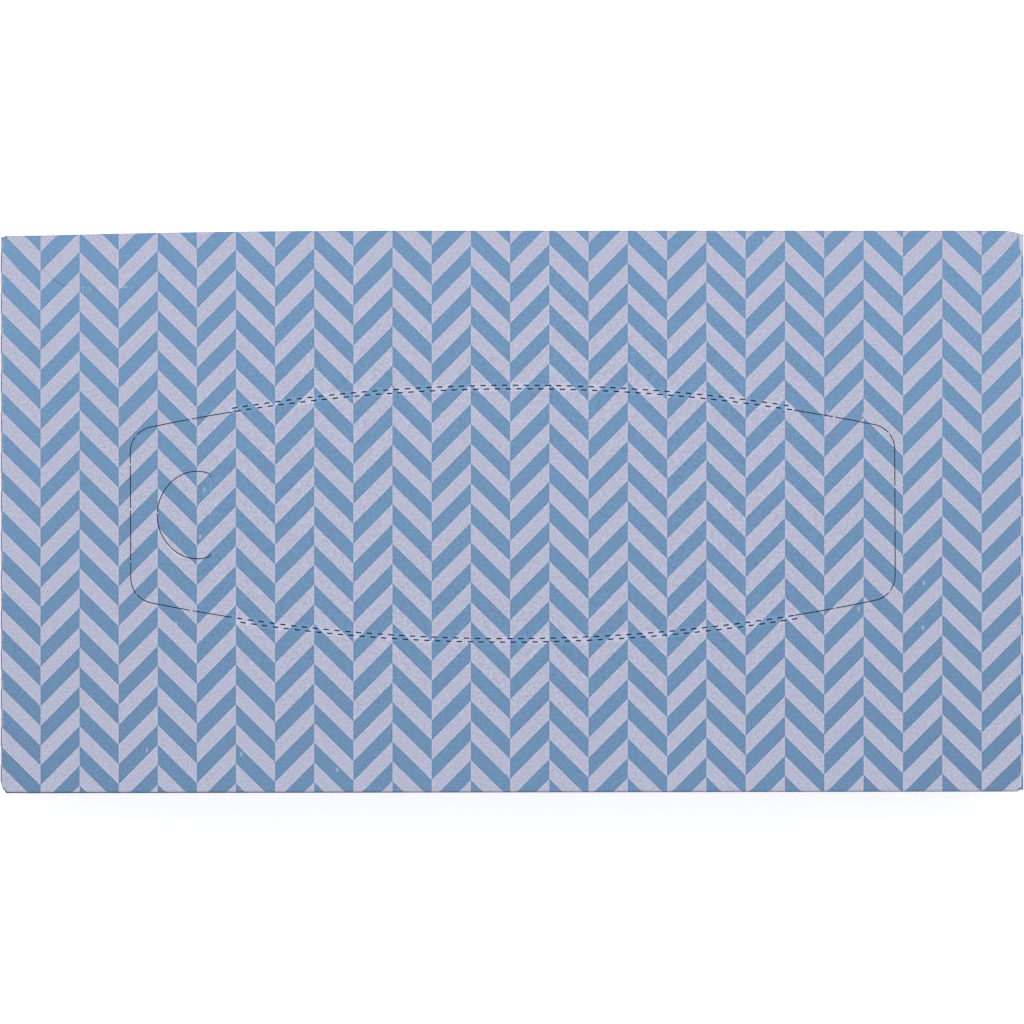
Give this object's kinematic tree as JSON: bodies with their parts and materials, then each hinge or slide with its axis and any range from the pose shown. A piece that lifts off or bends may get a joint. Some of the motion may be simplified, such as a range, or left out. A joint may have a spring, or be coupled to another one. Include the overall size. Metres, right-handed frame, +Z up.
{
  "type": "tissue box",
  "caption": "Sealed flat tissue box: a folded card carton with glued end flaps and a perforated tear-out opening with a thumb tab in the top.",
  "frame": {"origin": "centre of the underside", "axes": "+X along the length, away from the thumb tab; +Y to the back panel with the glued seam; +Z up through the tear-out opening"},
  "size_m": [0.229, 0.126, 0.06],
  "materials": {
    "carton": "matt print in two blues on coated folding board"
  },
  "bodies": {
    "root": {"tissue_box": "carton"}
  },
  "joints": []
}
